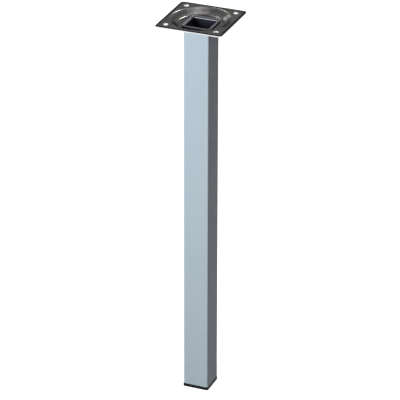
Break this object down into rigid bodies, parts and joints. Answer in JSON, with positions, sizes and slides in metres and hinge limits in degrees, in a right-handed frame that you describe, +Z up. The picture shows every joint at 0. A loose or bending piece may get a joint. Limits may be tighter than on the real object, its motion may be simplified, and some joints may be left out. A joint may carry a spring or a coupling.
{
  "type": "square table leg",
  "caption": "Square steel table leg with a dished screw plate at the top and a black plastic cap at the foot.",
  "frame": {"origin": "middle of the cap's underside, where the leg meets the floor", "axes": "+Z up along the tube to the plate; X and Y square to the tube's flats"},
  "size_m": [0.077, 0.077, 0.45],
  "materials": {
    "tube_paint": "satin silver paint",
    "plate_steel": "bright pressed steel",
    "cap_plastic": "matt black moulded plastic"
  },
  "bodies": {
    "root": {"leg_tube": "tube_paint", "mounting_plate": "plate_steel", "foot_cap": "cap_plastic"}
  },
  "joints": []
}
